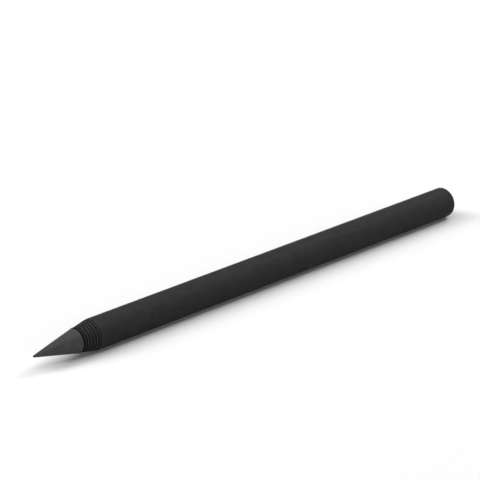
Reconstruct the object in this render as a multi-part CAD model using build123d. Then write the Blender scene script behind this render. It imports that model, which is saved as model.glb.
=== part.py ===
from build123d import *
import os
from math import asin, atan2, cos, hypot, radians, sin, tan

# An inkless metal pencil: a graphite alloy cone screwed into the ringed nose of a thin aluminium tube.
# Millimetres. Each piece is turned about X, with x counted from the point of the cone towards the rear,
# and place() then lays the pencil in its own frame: centred in X and Y, resting on z = 0.

# Whole pencil
overall_length = 145.0
barrel_diameter = 8.0
tube_wall = 0.9
edge_break = 0.08            # chamfer on turned edges, which leaves a hairline at each seam

# Writing cone
cone_length = 13.0
cone_base_diameter = 6.2
cone_rim_chamfer = 0.15
point_radius = 0.32

# Washer at the cone's base
washer_thickness = 0.3
washer_inset = 0.2           # its rim lies this far below the rim of the cone
washer_clearance = 0.15      # round the stud's thread, which has to pass through it

# Ringed collar
collar_length = 4.8          # the part that shows
collar_front_diameter = 6.42
collar_land = 0.8            # straight stretch in front of the taper
ring_count = 6
groove_width = 0.42
groove_depth = 0.3

# Spigots of the collar and the end cap, pressed and glued into the tube
collar_spigot_length = 8.0
cap_spigot_length = 6.0
spigot_lead = 0.3            # chamfer at the free end
glue_groove_count = 2
glue_groove_spacing = 1.9
glue_groove_width = 0.6
glue_groove_depth = 0.15

# Rounded rear end
end_round_length = 1.65
end_flat_diameter = 3.06

# Screw joint between stud and collar: a coarse metric thread
thread_diameter = 4.0
thread_pitch = 0.7
thread_turns = 7
thread_flank_angle = 30.0
thread_clearance = 0.06      # between male and female, square to their faces
relief_clearance = 0.2       # round the thread, in the plain bores in front of and behind the female thread
mouth_depth = 0.9            # of the plain bore in front
neck_undercut = 0.07         # of the stud's neck below the root of its thread
stud_end_length = 0.35       # chamfered end behind the last full turn

# End of the stud that the cone is cast round
anchor_diameter = 3.0
anchor_length = 4.0
anchor_groove_count = 2
anchor_groove_width = 0.7
anchor_groove_depth = 0.25

# Worked out from the sizes above: places along the pencil and radii
barrel_radius = barrel_diameter / 2
tube_bore_radius = barrel_radius - tube_wall
cone_base_radius = cone_base_diameter / 2
collar_front_radius = collar_front_diameter / 2
end_flat_radius = end_flat_diameter / 2
anchor_radius = anchor_diameter / 2
collar_front = cone_length + washer_thickness
tube_front = collar_front + collar_length
tube_rear = overall_length - end_round_length

# The thread's section, with the flats that a metric thread has at crest and root
flank_slope = tan(radians(thread_flank_angle))
thread_crest = thread_pitch / 8
thread_root = thread_pitch / 6
thread_depth = (thread_pitch - thread_crest - thread_root) / 2 / flank_slope
thread_radius = thread_diameter / 2
root_radius = thread_radius - thread_depth
neck_radius = root_radius - neck_undercut
relief_radius = thread_radius + relief_clearance
crest_gap = 2 * thread_clearance         # between the female crest and the male root
ridge_sink = thread_root / 2             # of the ridge's foot into its core

# The thread's run along the pencil
thread_start = collar_front + mouth_depth
thread_end = thread_start + thread_turns * thread_pitch
thread_lead = thread_radius - neck_radius
thread_run_out = thread_lead + thread_pitch / 2
blind_end = thread_end + thread_run_out + 2 * thread_pitch


def place(solid):
    return Pos(-overall_length / 2, 0, barrel_radius) * solid


def turned(points):
    """Solid of revolution about X from the corners of its half section."""
    return revolve(make_face(Polyline(*points, close=True)), Axis.X)


def rod(start, end, radius):
    return turned([(start, 0), (start, radius), (end, radius), (end, 0)])


def ring_cut(middle, width, radius, depth):
    """Square ring that cuts a groove of this depth into a round of this radius."""
    start = middle - width / 2
    end = middle + width / 2
    floor = radius - depth
    top = radius + depth
    return turned([(start, floor), (end, floor), (end, top), (start, top)])


def spigot(start, length, direction):
    """Plug that fills the tube's bore, with a chamfered free end and grooves for glue behind the chamfer."""
    end = start + direction * length
    plug = turned([
        (start, 0),
        (start, tube_bore_radius),
        (end - direction * spigot_lead, tube_bore_radius),
        (end, tube_bore_radius - spigot_lead),
        (end, 0),
    ])
    for number in range(glue_groove_count):
        middle = end - direction * (spigot_lead + (number + 0.5) * glue_groove_spacing)
        plug -= ring_cut(middle, glue_groove_width, tube_bore_radius, glue_groove_depth)
    return plug


def thread_width(radius):
    """Width of the male ridge at a radius, along the pencil."""
    return thread_crest + 2 * (thread_radius - radius) * flank_slope


def threaded_rod(core_radius, clearance):
    """Helical ridge on a core, both running past the thread's ends. Grown by a clearance it is the tap."""
    growth = 2 * clearance / cos(radians(thread_flank_angle))
    crest_radius = thread_radius + clearance
    knee_radius = core_radius - ridge_sink / 2
    foot_radius = core_radius - ridge_sink
    half_crest = (thread_width(crest_radius) + growth) / 2
    half_foot = (thread_width(knee_radius) + growth) / 2
    section = make_face(Polyline(
        (crest_radius, -half_crest),
        (crest_radius, half_crest),
        (knee_radius, half_foot),
        (foot_radius, half_foot),
        (foot_radius, -half_foot),
        (knee_radius, -half_foot),
        close=True,
    ))
    front = thread_start - thread_run_out
    rear = thread_end + thread_run_out
    ridge = sweep(Plane.XZ * section, Helix(thread_pitch, rear - front, core_radius), is_frenet=True)
    core = rod(front - thread_pitch, rear + thread_pitch, core_radius)
    return core + Pos(front, 0, 0) * Rot(0, 90, 0) * ridge


def anchor():
    """Grooved end of the stud, up to the base of the cone that holds it."""
    start = cone_length - anchor_length
    solid = rod(start, cone_length, anchor_radius)
    spacing = anchor_length / (anchor_groove_count + 1)
    for number in range(anchor_groove_count):
        middle = start + (number + 1) * spacing
        solid -= ring_cut(middle, anchor_groove_width, anchor_radius, anchor_groove_depth)
    return solid


def tip_stud():
    """Anchor, neck and thread, the thread trimmed by a 45 degree chamfer at each end."""
    front = thread_start - thread_lead
    rear = thread_end + stud_end_length
    chamfer = relief_radius - neck_radius
    envelope = turned([
        (front, 0),
        (front, neck_radius),
        (front + chamfer, relief_radius),
        (rear - chamfer, relief_radius),
        (rear, neck_radius),
        (rear, 0),
    ])
    neck = rod(cone_length, thread_start, neck_radius)
    return (threaded_rod(root_radius, 0) & envelope) + neck + anchor()


def writing_tip():
    """Cone tangent to its rounded point, with a chamfered rim, cast round the stud's anchor."""
    rim = cone_length - cone_rim_chamfer
    to_rim = hypot(rim - point_radius, cone_base_radius)
    half_angle = atan2(cone_base_radius, rim - point_radius) - asin(point_radius / to_rim)
    point_end = (point_radius * (1 - sin(half_angle)), point_radius * cos(half_angle))
    outline = [
        Line((cone_length, 0), (0, 0)),
        TangentArc((0, 0), point_end, tangent=(0, 1)),
        Polyline(
            point_end,
            (rim, cone_base_radius),
            (cone_length, cone_base_radius - cone_rim_chamfer),
            (cone_length, 0),
        ),
    ]
    return revolve(make_face(outline), Axis.X) - anchor()


def seam_washer():
    rim = cone_base_radius - washer_inset
    bore = thread_radius + washer_clearance
    return turned([(cone_length, bore), (cone_length, rim), (collar_front, rim), (collar_front, bore)])


def collar_radius(station):
    """Outer radius of the collar: a straight land, then a taper up to the barrel."""
    along = max(0, station - collar_front - collar_land)
    taper = (barrel_radius - collar_front_radius) / (collar_length - collar_land)
    return collar_front_radius + taper * along


def collar_nose():
    """Part of the collar that shows: a round-bottomed groove behind each ring, the last one at the tube's rim."""
    outline = make_face(Polyline(
        (collar_front, 0),
        (collar_front, collar_front_radius - edge_break),
        (collar_front + edge_break, collar_front_radius),
        (collar_front + collar_land, collar_front_radius),
        (tube_front, barrel_radius),
        (tube_front, 0),
        close=True,
    ))
    cutter_length = 2 * groove_depth + groove_width      # reaches from the groove's floor to clear of the ring
    ring_pitch = collar_length / ring_count
    for number in range(ring_count):
        station = collar_front + (number + 1) * ring_pitch
        height = collar_radius(station) - groove_depth + cutter_length / 2
        outline -= Pos(station, height) * SlotOverall(cutter_length, groove_width, rotation=90)
    return revolve(outline, Axis.X)


def grip_collar():
    """Ringed nose and spigot, tapped for the stud between a plain mouth and a plain blind end."""
    blank = collar_nose() + spigot(tube_front, collar_spigot_length, 1)
    tapped = blank - threaded_rod(root_radius + crest_gap, thread_clearance)
    mouth = rod(collar_front, thread_start, relief_radius)
    return tapped - mouth - rod(thread_end, blind_end, relief_radius)


def barrel_tube():
    return turned([
        (tube_front, tube_bore_radius + edge_break),
        (tube_front, barrel_radius - edge_break),
        (tube_front + edge_break, barrel_radius),
        (tube_rear - edge_break, barrel_radius),
        (tube_rear, barrel_radius - edge_break),
        (tube_rear, tube_bore_radius + edge_break),
        (tube_rear - edge_break, tube_bore_radius),
        (tube_front + edge_break, tube_bore_radius),
    ])


def end_cap():
    """Rear plug: a flat end face, an arc tangent to it out to the barrel, and the spigot."""
    outline = [
        Polyline(
            (tube_rear, barrel_radius),
            (tube_rear, 0),
            (overall_length, 0),
            (overall_length, end_flat_radius),
        ),
        TangentArc((overall_length, end_flat_radius), (tube_rear, barrel_radius), tangent=(0, 1)),
    ]
    return revolve(make_face(outline), Axis.X) + spigot(tube_rear, cap_spigot_length, -1)


pieces = {
    "writing_tip": writing_tip,
    "tip_stud": tip_stud,
    "seam_washer": seam_washer,
    "grip_collar": grip_collar,
    "barrel_tube": barrel_tube,
    "end_cap": end_cap,
}

os.makedirs("parts", exist_ok=True)
for name, make in pieces.items():
    export_step(place(make()), os.path.join("parts", name + ".step"))
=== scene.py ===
import math
import bmesh
import bpy
from mathutils import Matrix, Vector


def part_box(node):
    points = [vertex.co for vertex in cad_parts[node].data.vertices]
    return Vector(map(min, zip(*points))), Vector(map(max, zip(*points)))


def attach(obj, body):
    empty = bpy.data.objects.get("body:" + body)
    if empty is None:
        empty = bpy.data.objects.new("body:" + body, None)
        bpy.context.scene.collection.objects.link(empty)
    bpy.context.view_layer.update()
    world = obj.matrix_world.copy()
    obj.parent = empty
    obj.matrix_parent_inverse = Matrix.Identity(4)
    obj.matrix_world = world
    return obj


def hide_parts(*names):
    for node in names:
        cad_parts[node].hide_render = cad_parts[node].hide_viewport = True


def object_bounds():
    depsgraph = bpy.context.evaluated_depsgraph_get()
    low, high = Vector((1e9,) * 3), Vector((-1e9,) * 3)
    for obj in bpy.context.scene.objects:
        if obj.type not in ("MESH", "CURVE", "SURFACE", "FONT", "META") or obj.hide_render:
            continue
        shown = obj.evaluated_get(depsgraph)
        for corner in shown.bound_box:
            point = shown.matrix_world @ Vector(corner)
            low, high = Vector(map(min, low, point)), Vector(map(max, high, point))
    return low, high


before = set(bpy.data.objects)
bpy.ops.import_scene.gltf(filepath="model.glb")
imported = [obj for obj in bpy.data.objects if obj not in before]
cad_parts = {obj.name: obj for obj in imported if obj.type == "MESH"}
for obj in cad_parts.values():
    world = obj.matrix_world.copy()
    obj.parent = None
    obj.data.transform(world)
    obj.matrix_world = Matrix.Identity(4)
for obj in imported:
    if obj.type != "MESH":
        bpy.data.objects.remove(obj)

mm = 0.001
cadLow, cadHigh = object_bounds()
axisHeight = (cadLow.z + cadHigh.z) / 2
barrelRadius = (cadHigh.z - cadLow.z) / 2


# modelling helpers

# steps are the facets in a full turn, and a round wider than widestEdge counts as form, not as an edge
turning = {"steps": 128, "weld": 0.0001 * mm, "sharpAngle": 35}
rounding = {"widestEdge": 0.12 * mm, "edgeSegments": 4, "wideSegments": 16}


def reach(node):
    # front end, rear end and radius of a CAD node
    low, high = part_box(node)
    return low.x, high.x, (high.y - low.y) / 2


def corner(x, radius, size=0, paintedShade=0):
    # one corner of an outline: place along the pencil, radius, size of its round, and 1 where painted shade
    # darkens it, as in a groove or seam
    return x, radius, size, paintedShade


def grooveCorners(middle, way, width, rim, bottom):
    # square groove in a rod, met while going along the rod one way or the other
    first = middle - way * width / 2
    last = middle + way * width / 2
    return [corner(first, rim), corner(first, bottom), corner(last, bottom), corner(last, rim)]


def roundCorner(shape, vert, size, wearGlint):
    # rounds one corner of an outline, and marks the crown of a small round as an edge that gets a paler
    # colour, partly wear and partly a painted highlight
    place = vert.co.copy()
    isEdge = size <= rounding["widestEdge"]
    segments = rounding["edgeSegments"] if isEdge else rounding["wideSegments"]
    rounded = bmesh.ops.bevel(shape, geom=[vert], offset=size, offset_type="OFFSET", segments=segments,
                              profile=0.5, affect="VERTICES", material=-1)
    crown = min((point.co - place).length for point in rounded["verts"])
    for point in rounded["verts"]:
        point[wearGlint] = (size - (point.co - place).length) / (size - crown) if isEdge else 0


def turnOutline(outline, closed):
    # spins an outline of corners about the pencil's axis
    shape = bmesh.new()
    # crowns of small rounds, paler partly from wear and partly as a painted highlight
    wearGlint = shape.verts.layers.float.new("edgeWearAndGlint")
    # layer of painted shade: 1 in grooves, seams and front faces, where shade falls
    shadeLayer = shape.verts.layers.float.new("paintedShade")
    verts = []
    for x, radius, size, paintedShade in outline:
        vert = shape.verts.new((x, 0, axisHeight + radius))
        vert[shadeLayer] = paintedShade
        verts.append(vert)
    followers = verts[1:] + verts[:1] if closed else verts[1:]
    for first, second in zip(verts, followers):
        shape.edges.new((first, second))
    for vert, (x, radius, size, paintedShade) in zip(verts, outline):
        if size:
            roundCorner(shape, vert, size, wearGlint)
    bmesh.ops.spin(shape, geom=shape.verts[:] + shape.edges[:], cent=(0, 0, axisHeight), axis=(1, 0, 0),
                   angle=math.tau, steps=turning["steps"], use_merge=True)
    return shape


def finishMesh(name, shape):
    bmesh.ops.remove_doubles(shape, verts=shape.verts, dist=turning["weld"])
    bmesh.ops.recalc_face_normals(shape, faces=shape.faces)
    for face in shape.faces:
        face.smooth = True
    mesh = bpy.data.meshes.new(name)
    shape.to_mesh(mesh)
    shape.free()
    mesh.set_sharp_from_angle(angle=math.radians(turning["sharpAngle"]))
    piece = bpy.data.objects.new(name, mesh)
    bpy.context.scene.collection.objects.link(piece)
    return piece


# barrel tube

# the front face gets the painted shade of a groove, apart from an outer band that is rimPale wide
tube = {"wall": 0.9 * mm, "frontRound": 0.08 * mm, "rearRound": 0.04 * mm, "rimPale": 0.1 * mm}
tubeFront, tubeRear, tubeRadius = reach("barrel_tube")
tubeBore = tubeRadius - tube["wall"]


def makeTube():
    shape = turnOutline([
        corner(tubeFront, tubeBore, paintedShade=1),
        corner(tubeFront, barrelRadius - tube["rimPale"], paintedShade=1),
        corner(tubeFront, barrelRadius, tube["frontRound"]),
        corner(tubeRear, barrelRadius, tube["rearRound"]),
        corner(tubeRear, tubeBore),
    ], closed=True)
    return finishMesh("barrel_tube_black", shape)


# spigots of the collar and the end cap

spigot = {"lead": 0.3 * mm, "grooves": 2, "grooveSpacing": 1.9 * mm, "grooveWidth": 0.6 * mm,
          "grooveDepth": 0.15 * mm}


def spigotOutline(shoulder, end):
    # plug that fills the tube's bore, with grooves for glue and a chamfered end
    way = math.copysign(1, end - shoulder)
    bottom = tubeBore - spigot["grooveDepth"]
    corners = [corner(shoulder, tubeBore)]
    for number in reversed(range(spigot["grooves"])):
        middle = end - way * (spigot["lead"] + (number + 0.5) * spigot["grooveSpacing"])
        corners += grooveCorners(middle, way, spigot["grooveWidth"], tubeBore, bottom)
    return corners + [
        corner(end - way * spigot["lead"], tubeBore),
        corner(end, tubeBore - spigot["lead"]),
        corner(end, 0),
    ]


# graphite cone

cone = {"pointRadius": 0.25 * mm, "pointRound": 0.2475 * mm, "rimChamfer": 0.07 * mm,
        "rimRound": 0.04 * mm}
anchor = {"radius": 1.5 * mm, "depth": 4.0 * mm, "grooves": 2, "grooveWidth": 0.7 * mm,
          "grooveDepth": 0.25 * mm}


def socketOutline(base):
    # hollow cast round the grooved end of the stud, from the cone's base inwards
    end = base - anchor["depth"]
    spacing = anchor["depth"] / (anchor["grooves"] + 1)
    bottom = anchor["radius"] - anchor["grooveDepth"]
    corners = [corner(base, anchor["radius"])]
    for number in range(1, anchor["grooves"] + 1):
        middle = base - number * spacing
        corners += grooveCorners(middle, -1, anchor["grooveWidth"], anchor["radius"], bottom)
    return corners + [corner(end, anchor["radius"]), corner(end, 0)]


def makeCone():
    point, base, radius = reach("writing_tip")
    shape = turnOutline([
        corner(point, 0),
        corner(point, cone["pointRadius"], cone["pointRound"]),
        corner(base - cone["rimChamfer"], radius, cone["rimRound"]),
        corner(base, radius - cone["rimChamfer"], cone["rimRound"]),
        *socketOutline(base),
    ], closed=False)
    return finishMesh("graphite_cone", shape)


# washer

washer = {"bore": 2.15 * mm, "rimRound": 0.1 * mm}


def makeWasher():
    front, rear, radius = reach("seam_washer")
    shape = turnOutline([
        corner(front, washer["bore"]),
        corner(front, radius, washer["rimRound"]),
        corner(rear, radius, washer["rimRound"]),
        corner(rear, washer["bore"]),
    ], closed=True)
    return finishMesh("black_washer", shape)


# ringed collar, with places in its bore and thread counted from its front

collar = {"frontRadius": 3.21 * mm, "frontRound": 0.14 * mm, "land": 0.8 * mm, "rings": 6,
          "grooveWidth": 0.42 * mm, "grooveDepth": 0.3 * mm, "grooveRound": 0.19 * mm,
          "lastGroove": 0.32 * mm, "edgeRound": 0.06 * mm}
bore = {"radius": 2.2 * mm, "mouth": 0.9 * mm, "threadEnd": 5.8 * mm, "blindEnd": 8.05 * mm}
thread = {"pitch": 0.7 * mm, "turns": 6, "start": 1.1 * mm, "root": 2.06 * mm, "crest": 1.69 * mm,
          "footWidth": 0.54 * mm, "topWidth": 0.117 * mm, "sunk": 0.05 * mm, "stepsPerTurn": 64}


def collarRadius(along, nose):
    # a straight land, then a taper up to the barrel
    taper = (barrelRadius - collar["frontRadius"]) / (nose - collar["land"])
    return collar["frontRadius"] + taper * max(0, along - collar["land"])


def ringOutline(front, nose):
    # a groove with a round bottom behind each ring, the last one open to the tube's rim; painted shade
    # darkens each groove
    pitch = nose / collar["rings"]
    half = collar["grooveWidth"] / 2
    corners = []
    for number in range(1, collar["rings"]):
        middle = number * pitch
        bottom = collarRadius(middle, nose) - collar["grooveDepth"]
        corners += [
            corner(front + middle - half, collarRadius(middle - half, nose), collar["edgeRound"]),
            corner(front + middle - half, bottom, collar["grooveRound"], paintedShade=1),
            corner(front + middle + half, bottom, collar["grooveRound"], paintedShade=1),
            corner(front + middle + half, collarRadius(middle + half, nose), collar["edgeRound"]),
        ]
    last = nose - collar["lastGroove"]
    bottom = barrelRadius - collar["grooveDepth"]
    return corners + [
        corner(front + last, collarRadius(last, nose), collar["edgeRound"]),
        corner(front + last, bottom, collar["grooveRound"], paintedShade=1),
        corner(front + nose, bottom, paintedShade=1),
    ]


def boreOutline(front):
    # blind hole from its end out to the mouth, a little narrower where the thread is cut
    return [
        corner(front + bore["blindEnd"], 0),
        corner(front + bore["blindEnd"], bore["radius"]),
        corner(front + bore["threadEnd"], bore["radius"]),
        corner(front + bore["threadEnd"], thread["root"]),
        corner(front + bore["mouth"], thread["root"]),
        corner(front + bore["mouth"], bore["radius"]),
        # painted shade on the round at the bore's mouth darkens the seam behind the washer
        corner(front, bore["radius"], collar["edgeRound"], paintedShade=1),
    ]


def addThread(shape, front):
    # helical ridge of the female thread, its foot sunk in the bore's wall
    start = front + thread["start"]
    foot = thread["root"] + thread["sunk"]
    section = [
        (start + thread["footWidth"] / 2, foot),
        (start - thread["footWidth"] / 2, foot),
        (start - thread["topWidth"] / 2, thread["crest"]),
        (start + thread["topWidth"] / 2, thread["crest"]),
    ]
    ridge = bmesh.new()
    verts = [ridge.verts.new((x, 0, axisHeight - radius)) for x, radius in section]
    face = ridge.faces.new(verts)
    bmesh.ops.spin(ridge, geom=verts + face.edges[:] + [face], cent=(0, 0, axisHeight), axis=(1, 0, 0),
                   dvec=(thread["pitch"] / thread["stepsPerTurn"], 0, 0),
                   angle=math.tau * thread["turns"], steps=thread["stepsPerTurn"] * thread["turns"])
    mesh = bpy.data.meshes.new("collar_thread")
    ridge.to_mesh(mesh)
    ridge.free()
    shape.from_mesh(mesh)
    bpy.data.meshes.remove(mesh)


def makeCollar():
    front, rear = reach("grip_collar")[:2]
    shape = turnOutline([
        *boreOutline(front),
        # painted shade on the front corner darkens the seam behind the washer and the first ring
        corner(front, collar["frontRadius"], collar["frontRound"], paintedShade=1),
        *ringOutline(front, tubeFront - front),
        *spigotOutline(tubeFront, rear),
    ], closed=False)
    addThread(shape, front)
    return finishMesh("ringed_collar", shape)


# rounded end cap

cap = {"flatRadius": 1.53 * mm, "roundShare": 0.95, "rimRound": 0.04 * mm}


def makeCap():
    inner, end = reach("end_cap")[:2]
    depth = end - tubeRear
    rise = barrelRadius - cap["flatRadius"]
    # length of both arms of the corner that the big round takes off, nearly up to their ends
    arm = (depth ** 2 + rise ** 2) / (2 * rise)
    shape = turnOutline([
        corner(end, 0),
        corner(end, cap["flatRadius"] + arm, cap["roundShare"] * arm),
        corner(tubeRear, barrelRadius, cap["rimRound"]),
        *spigotOutline(tubeRear, inner),
    ], closed=False)
    return finishMesh("rounded_end_cap", shape)


# materials

# sockets of a Mix node that mixes colours, by number because their names repeat
mixFactor = 0
mixFirst = 6
mixSecond = 7
mixResult = 2


def linear(hexText):
    channels = [int(hexText[i:i + 2], 16) / 255 for i in (1, 3, 5)]
    return [c / 12.92 if c <= 0.04045 else ((c + 0.055) / 1.055) ** 2.4 for c in channels] + [1]


def perSize(size):
    # scale of a pattern whose marks are this big
    return 1 / size


def addNode(tree, kind, settings, inputs):
    node = tree.nodes.new(kind)
    for name, value in settings.items():
        setattr(node, name, value)
    for name, value in inputs.items():
        if isinstance(value, bpy.types.NodeSocket):
            tree.links.new(value, node.inputs[name])
        else:
            node.inputs[name].default_value = value
    return node


def newMaterial(name):
    material = bpy.data.materials.new(name)
    material.use_nodes = True
    material.node_tree.nodes.clear()
    return material, material.node_tree


# blastTint is the share of the grain in the colour, and markHeight that of the marks in the bump; a pattern
# goes from one end to the other between the noise levels From and To
# the groove colour is painted shade, laid into grooves, seams and front faces
# the rubbed colour on edge crowns is partly wear and partly a painted highlight
anodised = {"dark": "#343435", "pale": "#3b3b3c", "rubbedAndGlinting": "#78787b", "groove": "#252526",
            "roughness": 0.6, "roughSpread": 0.08, "shine": 0.03,
            "cloud": 1.8 * mm, "cloudDetail": 4, "cloudStretch": (0.7, 1, 1),
            "blast": 0.2 * mm, "blastDetail": 2, "blastDepth": 0.03 * mm, "blastTint": 0.3, "bump": 0.8,
            "dyeFrom": 0.45, "dyeTo": 0.85,
            "mark": 0.4 * mm, "markDetail": 2, "markHeight": 0.5, "markFrom": 0.3, "markTo": 0.7,
            "drawn": (0.02, 1, 1), "turned": (1, 0.02, 0.02)}


def blackAnodised(name, grain):
    # aluminium, bead blasted and dyed black: deep matt black with one soft broad shine, cloudy where the
    # dye took unevenly, paler on edges through wear and a painted highlight, and darker in grooves and
    # seams through painted shade. The blasted grain is really about 0.05 mm and is drawn four times as
    # coarse, so that it shows. Faint marks follow the drawing of the tube or the turning of the other
    # pieces.
    material, tree = newMaterial(name)
    spot = addNode(tree, "ShaderNodeTexCoord", {}, {})
    stretched = addNode(tree, "ShaderNodeMapping", {},
                        {"Vector": spot.outputs["Object"], "Scale": anodised["cloudStretch"]})
    cloud = addNode(tree, "ShaderNodeTexNoise", {},
                    {"Vector": stretched.outputs[0], "Scale": perSize(anodised["cloud"]),
                     "Detail": anodised["cloudDetail"]})
    grained = addNode(tree, "ShaderNodeMapping", {}, {"Vector": spot.outputs["Object"], "Scale": grain})
    marks = addNode(tree, "ShaderNodeTexNoise", {},
                    {"Vector": grained.outputs[0], "Scale": perSize(anodised["mark"]),
                     "Detail": anodised["markDetail"]})
    blast = addNode(tree, "ShaderNodeTexNoise", {},
                    {"Vector": spot.outputs["Object"], "Scale": perSize(anodised["blast"]),
                     "Detail": anodised["blastDetail"]})
    speckle = addNode(tree, "ShaderNodeMath", {"operation": "MULTIPLY_ADD"},
                      {0: blast.outputs["Fac"], 1: anodised["blastTint"], 2: cloud.outputs["Fac"]})
    dye = addNode(tree, "ShaderNodeMapRange", {},
                  {"Value": speckle.outputs[0], "From Min": anodised["dyeFrom"],
                   "From Max": anodised["dyeTo"]})
    dyed = addNode(tree, "ShaderNodeMix", {"data_type": "RGBA"},
                   {mixFactor: dye.outputs[0], mixFirst: linear(anodised["dark"]),
                    mixSecond: linear(anodised["pale"])})
    # painted shade where the outline marks grooves, seams and front faces
    depth = addNode(tree, "ShaderNodeAttribute", {"attribute_name": "paintedShade"}, {})
    grooved = addNode(tree, "ShaderNodeMix", {"data_type": "RGBA"},
                      {mixFactor: depth.outputs["Fac"], mixFirst: dyed.outputs[mixResult],
                       mixSecond: linear(anodised["groove"])})
    # paler edge crowns: partly wear, partly a painted highlight, broken up by the cloud
    wearGlint = addNode(tree, "ShaderNodeAttribute", {"attribute_name": "edgeWearAndGlint"}, {})
    patchy = addNode(tree, "ShaderNodeMath", {"operation": "MULTIPLY"},
                     {0: wearGlint.outputs["Fac"], 1: cloud.outputs["Fac"]})
    wornAndGlinting = addNode(tree, "ShaderNodeMix", {"data_type": "RGBA"},
                   {mixFactor: patchy.outputs[0], mixFirst: grooved.outputs[mixResult],
                    mixSecond: linear(anodised["rubbedAndGlinting"])})
    rough = addNode(tree, "ShaderNodeMapRange", {},
                    {"Value": marks.outputs["Fac"], "From Min": anodised["markFrom"],
                     "From Max": anodised["markTo"],
                     "To Min": anodised["roughness"] - anodised["roughSpread"],
                     "To Max": anodised["roughness"] + anodised["roughSpread"]})
    grit = addNode(tree, "ShaderNodeMath", {"operation": "MULTIPLY_ADD"},
                   {0: marks.outputs["Fac"], 1: anodised["markHeight"], 2: blast.outputs["Fac"]})
    bump = addNode(tree, "ShaderNodeBump", {},
                   {"Height": grit.outputs[0], "Strength": anodised["bump"],
                    "Distance": anodised["blastDepth"]})
    shader = addNode(tree, "ShaderNodeBsdfPrincipled", {},
                     {"Base Color": wornAndGlinting.outputs[mixResult], "Roughness": rough.outputs[0],
                      "Specular IOR Level": anodised["shine"], "Normal": bump.outputs[0]})
    addNode(tree, "ShaderNodeOutputMaterial", {}, {"Surface": shader.outputs[0]})
    return material


# the rubbed colour on the rim is partly wear and partly a painted highlight
graphite = {"dark": "#454343", "pale": "#4b4949", "burnished": "#545252", "rubbedAndGlinting": "#7a7878",
            "roughness": 0.45, "burnishedRoughness": 0.38, "burnishLength": 4 * mm, "shine": 0.23,
            "cloud": 2 * mm, "cloudDetail": 4, "flakeFrom": 0.5, "flakeTo": 0.9,
            "ring": 0.25 * mm, "ringDetail": 2, "ringDepth": 0.02 * mm, "ringTint": 0.4, "bump": 0.3,
            "turned": (1, 0.02, 0.02)}


def graphiteAlloy():
    # graphite-filled alloy, turned to a point: soft warm mid grey with faint rings from the tool,
    # burnished towards the point by writing, with a bright hairline on the rim that is partly wear and
    # partly a painted highlight. The tool's rings are really 0.05 mm apart and are drawn five times as
    # wide, so that they show.
    material, tree = newMaterial("graphite_alloy_turned")
    spot = addNode(tree, "ShaderNodeTexCoord", {}, {})
    turned = addNode(tree, "ShaderNodeMapping", {},
                     {"Vector": spot.outputs["Object"], "Scale": graphite["turned"]})
    rings = addNode(tree, "ShaderNodeTexNoise", {},
                    {"Vector": turned.outputs[0], "Scale": perSize(graphite["ring"]),
                     "Detail": graphite["ringDetail"]})
    cloud = addNode(tree, "ShaderNodeTexNoise", {},
                    {"Vector": spot.outputs["Object"], "Scale": perSize(graphite["cloud"]),
                     "Detail": graphite["cloudDetail"]})
    mottle = addNode(tree, "ShaderNodeMath", {"operation": "MULTIPLY_ADD"},
                     {0: rings.outputs["Fac"], 1: graphite["ringTint"], 2: cloud.outputs["Fac"]})
    flakes = addNode(tree, "ShaderNodeMapRange", {},
                     {"Value": mottle.outputs[0], "From Min": graphite["flakeFrom"],
                      "From Max": graphite["flakeTo"]})
    flaked = addNode(tree, "ShaderNodeMix", {"data_type": "RGBA"},
                     {mixFactor: flakes.outputs[0], mixFirst: linear(graphite["dark"]),
                      mixSecond: linear(graphite["pale"])})
    place = addNode(tree, "ShaderNodeSeparateXYZ", {}, {"Vector": spot.outputs["Object"]})
    nearPoint = addNode(tree, "ShaderNodeMapRange", {"interpolation_type": "SMOOTHSTEP"},
                        {"Value": place.outputs["X"], "From Min": cadLow.x,
                         "From Max": cadLow.x + graphite["burnishLength"], "To Min": 1, "To Max": 0})
    burnish = addNode(tree, "ShaderNodeMath", {"operation": "MULTIPLY"},
                      {0: nearPoint.outputs[0], 1: cloud.outputs["Fac"]})
    written = addNode(tree, "ShaderNodeMix", {"data_type": "RGBA"},
                      {mixFactor: burnish.outputs[0], mixFirst: flaked.outputs[mixResult],
                       mixSecond: linear(graphite["burnished"])})
    # bright hairline on the rim: partly wear, partly a painted highlight
    wearGlint = addNode(tree, "ShaderNodeAttribute", {"attribute_name": "edgeWearAndGlint"}, {})
    wornAndGlinting = addNode(tree, "ShaderNodeMix", {"data_type": "RGBA"},
                   {mixFactor: wearGlint.outputs["Fac"], mixFirst: written.outputs[mixResult],
                    mixSecond: linear(graphite["rubbedAndGlinting"])})
    rough = addNode(tree, "ShaderNodeMapRange", {},
                    {"Value": burnish.outputs[0], "To Min": graphite["roughness"],
                     "To Max": graphite["burnishedRoughness"]})
    bump = addNode(tree, "ShaderNodeBump", {},
                   {"Height": rings.outputs["Fac"], "Strength": graphite["bump"],
                    "Distance": graphite["ringDepth"]})
    shader = addNode(tree, "ShaderNodeBsdfPrincipled", {},
                     {"Base Color": wornAndGlinting.outputs[mixResult], "Roughness": rough.outputs[0],
                      "Specular IOR Level": graphite["shine"], "Normal": bump.outputs[0]})
    addNode(tree, "ShaderNodeOutputMaterial", {}, {"Surface": shader.outputs[0]})
    return material


rubber = {"dark": "#0e0e0e", "pale": "#181818", "roughness": 0.85, "shine": 0.2,
          "grain": 0.15 * mm, "grainDetail": 3, "grainDepth": 0.01 * mm, "bump": 0.5}


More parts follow.
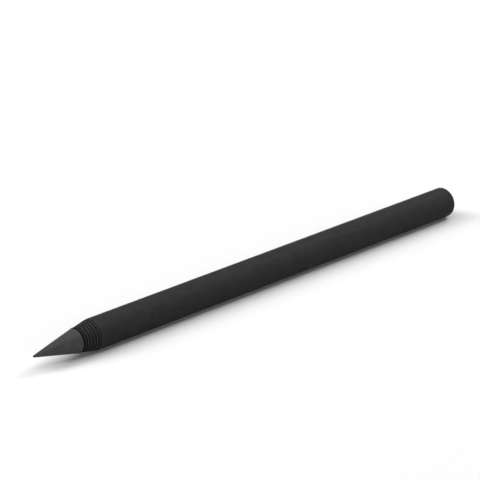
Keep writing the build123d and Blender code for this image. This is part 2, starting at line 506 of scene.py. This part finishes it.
def blackRubber():
    # nitrile rubber, stamped from a moulded sheet: dead black, slightly dusty, with a fine grain
    material, tree = newMaterial("nitrile_rubber_stamped")
    spot = addNode(tree, "ShaderNodeTexCoord", {}, {})
    grain = addNode(tree, "ShaderNodeTexNoise", {},
                    {"Vector": spot.outputs["Object"], "Scale": perSize(rubber["grain"]),
                     "Detail": rubber["grainDetail"]})
    dusty = addNode(tree, "ShaderNodeMix", {"data_type": "RGBA"},
                    {mixFactor: grain.outputs["Fac"], mixFirst: linear(rubber["dark"]),
                     mixSecond: linear(rubber["pale"])})
    bump = addNode(tree, "ShaderNodeBump", {},
                   {"Height": grain.outputs["Fac"], "Strength": rubber["bump"],
                    "Distance": rubber["grainDepth"]})
    shader = addNode(tree, "ShaderNodeBsdfPrincipled", {},
                     {"Base Color": dusty.outputs[mixResult], "Roughness": rubber["roughness"],
                      "Specular IOR Level": rubber["shine"], "Normal": bump.outputs[0]})
    addNode(tree, "ShaderNodeOutputMaterial", {}, {"Surface": shader.outputs[0]})
    return material


brass = {"bright": "#e0bd74", "tarnished": "#b8914f", "roughness": 0.28, "tarnishedRoughness": 0.45,
         "tarnish": 1.5 * mm, "tarnishDetail": 4, "tarnishFrom": 0.45, "tarnishTo": 0.7,
         "ring": 0.12 * mm, "ringDetail": 2, "ringDepth": 0.008 * mm, "bump": 0.4,
         "turned": (1, 0.03, 0.03)}


def turnedBrass():
    # brass, turned and thread cut: bright yellow metal, with fine rings from the tool and dull brown spots
    material, tree = newMaterial("brass_turned")
    spot = addNode(tree, "ShaderNodeTexCoord", {}, {})
    turned = addNode(tree, "ShaderNodeMapping", {},
                     {"Vector": spot.outputs["Object"], "Scale": brass["turned"]})
    rings = addNode(tree, "ShaderNodeTexNoise", {},
                    {"Vector": turned.outputs[0], "Scale": perSize(brass["ring"]),
                     "Detail": brass["ringDetail"]})
    spots = addNode(tree, "ShaderNodeTexNoise", {},
                    {"Vector": spot.outputs["Object"], "Scale": perSize(brass["tarnish"]),
                     "Detail": brass["tarnishDetail"]})
    tarnish = addNode(tree, "ShaderNodeMapRange", {},
                      {"Value": spots.outputs["Fac"], "From Min": brass["tarnishFrom"],
                       "From Max": brass["tarnishTo"]})
    spotted = addNode(tree, "ShaderNodeMix", {"data_type": "RGBA"},
                      {mixFactor: tarnish.outputs[0], mixFirst: linear(brass["bright"]),
                       mixSecond: linear(brass["tarnished"])})
    rough = addNode(tree, "ShaderNodeMapRange", {},
                    {"Value": tarnish.outputs[0], "To Min": brass["roughness"],
                     "To Max": brass["tarnishedRoughness"]})
    bump = addNode(tree, "ShaderNodeBump", {},
                   {"Height": rings.outputs["Fac"], "Strength": brass["bump"],
                    "Distance": brass["ringDepth"]})
    shader = addNode(tree, "ShaderNodeBsdfPrincipled", {},
                     {"Base Color": spotted.outputs[mixResult], "Metallic": 1,
                      "Roughness": rough.outputs[0], "Normal": bump.outputs[0]})
    addNode(tree, "ShaderNodeOutputMaterial", {}, {"Surface": shader.outputs[0]})
    return material


# pieces in place of the CAD nodes, and the one CAD node that stays

blackDrawn = blackAnodised("aluminium_drawn_blasted_black_anodised", anodised["drawn"])
blackTurned = blackAnodised("aluminium_turned_blasted_black_anodised", anodised["turned"])
made = [
    (makeCone(), "tip", "writing_tip", "graphite_alloy", graphiteAlloy()),
    (makeWasher(), "seal", "seam_washer", "washer_black", blackRubber()),
    (makeCollar(), "barrel", "grip_collar", "collar_black", blackTurned),
    (makeTube(), "barrel", "barrel_tube", "barrel_black", blackDrawn),
    (makeCap(), "barrel", "end_cap", "cap_black", blackTurned),
]
for piece, body, node, slot, material in made:
    piece.data.materials.append(material)
    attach(piece, body)
    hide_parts(node)
    print("piece", piece.name, len(piece.data.polygons), "faces")
studBrass = turnedBrass()
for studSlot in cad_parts["tip_stud"].material_slots:
    studSlot.material = studBrass
print("stud keeps its CAD mesh, in brass")


# floor, in metres from its middle

floor = {"half": 2.0, "shadowReach": 0.12, "whiteFrom": 0.3, "seen": "#ffffff", "bounce": "#9a9a9a"}


def whitePaper():
    # studio paper that keeps the shadow near the pencil and is plain white further off; what it throws
    # back at the pencil is a soft grey
    material, tree = newMaterial("studio_paper_white")
    path = addNode(tree, "ShaderNodeLightPath", {}, {})
    mirrored = addNode(tree, "ShaderNodeMath", {"operation": "MAXIMUM"},
                       {0: path.outputs["Is Glossy Ray"], 1: path.outputs["Is Transmission Ray"]})
    seen = addNode(tree, "ShaderNodeMath", {"operation": "MAXIMUM"},
                   {0: path.outputs["Is Camera Ray"], 1: mirrored.outputs[0]})
    colour = addNode(tree, "ShaderNodeMix", {"data_type": "RGBA"},
                     {mixFactor: seen.outputs[0], mixFirst: linear(floor["bounce"]),
                      mixSecond: linear(floor["seen"])})
    paper = addNode(tree, "ShaderNodeBsdfDiffuse", {}, {"Color": colour.outputs[mixResult]})
    spot = addNode(tree, "ShaderNodeTexCoord", {}, {})
    away = addNode(tree, "ShaderNodeVectorMath", {"operation": "LENGTH"}, {0: spot.outputs["Object"]})
    far = addNode(tree, "ShaderNodeMapRange", {"interpolation_type": "SMOOTHSTEP"},
                  {"Value": away.outputs["Value"], "From Min": floor["shadowReach"],
                   "From Max": floor["whiteFrom"]})
    plain = addNode(tree, "ShaderNodeMath", {"operation": "MULTIPLY"},
                    {0: far.outputs[0], 1: seen.outputs[0]})
    white = addNode(tree, "ShaderNodeEmission", {}, {"Color": linear(floor["seen"]), "Strength": 1})
    shader = addNode(tree, "ShaderNodeMixShader", {},
                     {0: plain.outputs[0], 1: paper.outputs[0], 2: white.outputs[0]})
    addNode(tree, "ShaderNodeOutputMaterial", {}, {"Surface": shader.outputs[0]})
    material.cycles.emission_sampling = "NONE"
    return material


def makeFloor():
    shape = bmesh.new()
    bmesh.ops.create_grid(shape, x_segments=1, y_segments=1, size=floor["half"])
    mesh = bpy.data.meshes.new("floor")
    shape.to_mesh(mesh)
    shape.free()
    mesh.materials.append(whitePaper())
    plane = bpy.data.objects.new("floor", mesh)
    bpy.context.scene.collection.objects.link(plane)


# lamps that face the pencil: azimuth counts from its rear end, anticlockwise as seen from above

lampDistance = 1.2
lamps = {
    "overheadFront": {"azimuth": 270, "elevation": 67.5, "long": 2.4, "wide": 0.32, "power": 4.45},
    "overheadBack": {"azimuth": 90, "elevation": 67.5, "long": 2.4, "wide": 0.32, "power": 3.6},
    "lowFront": {"azimuth": 270, "elevation": 22.5, "long": 2.4, "wide": 0.32, "power": 2.4},
    "backLeft": {"azimuth": 135, "elevation": 40, "long": 0.5, "wide": 0.5, "power": 5.5},
    "left": {"azimuth": 180, "elevation": 60, "long": 0.5, "wide": 0.5, "power": 2.2},
    "right": {"azimuth": 0, "elevation": 40, "long": 0.5, "wide": 0.5, "power": 5.4},
}


def makeLamp(name, lamp):
    turn = math.radians(lamp["azimuth"])
    rise = math.radians(lamp["elevation"])
    light = bpy.data.lights.new(name, "AREA")
    light.shape = "RECTANGLE"
    light.size = lamp["long"]
    light.size_y = lamp["wide"]
    light.energy = lamp["power"]
    box = bpy.data.objects.new(name, light)
    # the long side is level and square to the lamp's direction
    way = Vector((math.cos(turn) * math.cos(rise), math.sin(turn) * math.cos(rise), math.sin(rise)))
    across = Vector((-math.sin(turn), math.cos(turn), 0))
    box.location = way * lampDistance
    box.rotation_euler = Matrix((across, way.cross(across), way)).transposed().to_euler()
    bpy.context.scene.collection.objects.link(box)


# room: low white walls that fade into a dark ceiling, with heights as the sine of the elevation

room = {"wall": "#ffffff", "wallTop": 0.12, "fade": 0.2}


def makeRoom():
    world = bpy.data.worlds.new("studio")
    world.use_nodes = True
    tree = world.node_tree
    tree.nodes.clear()
    spot = addNode(tree, "ShaderNodeTexCoord", {}, {})
    way = addNode(tree, "ShaderNodeSeparateXYZ", {}, {"Vector": spot.outputs["Generated"]})
    level = addNode(tree, "ShaderNodeMapRange", {"interpolation_type": "SMOOTHSTEP"},
                    {"Value": way.outputs["Z"], "From Min": room["wallTop"],
                     "From Max": room["wallTop"] + room["fade"], "To Min": 1, "To Max": 0})
    back = addNode(tree, "ShaderNodeBackground", {},
                   {"Color": linear(room["wall"]), "Strength": level.outputs[0]})
    addNode(tree, "ShaderNodeOutputWorld", {}, {"Surface": back.outputs[0]})
    bpy.context.scene.world = world


# camera: azimuth counts from straight in front, and it is shifted sideways and upwards from the middle

view = {"lens": 203.2, "sensor": 36, "azimuth": -44.03, "elevation": 22.18, "distance": 0.68273,
        "sideways": -0.00358, "upwards": 0.00838, "clipStart": 0.01}


def makeCamera():
    turn = math.radians(view["azimuth"])
    tilt = math.radians(view["elevation"])
    back = Vector((math.sin(turn) * math.cos(tilt), -math.cos(turn) * math.cos(tilt), math.sin(tilt)))
    right = Vector((math.cos(turn), math.sin(turn), 0))
    up = back.cross(right)
    lens = bpy.data.cameras.new("camera")
    lens.lens = view["lens"]
    lens.sensor_width = view["sensor"]
    lens.clip_start = view["clipStart"]
    camera = bpy.data.objects.new("camera", lens)
    camera.location = (Vector((0, 0, axisHeight)) + back * view["distance"] + right * view["sideways"]
                       + up * view["upwards"])
    camera.rotation_euler = back.to_track_quat("Z", "Y").to_euler()
    bpy.context.scene.collection.objects.link(camera)
    bpy.context.scene.camera = camera


makeFloor()
for name, lamp in lamps.items():
    makeLamp(name, lamp)
makeRoom()
makeCamera()
bpy.context.scene.view_settings.view_transform = "Standard"
print("stage, light and camera set")
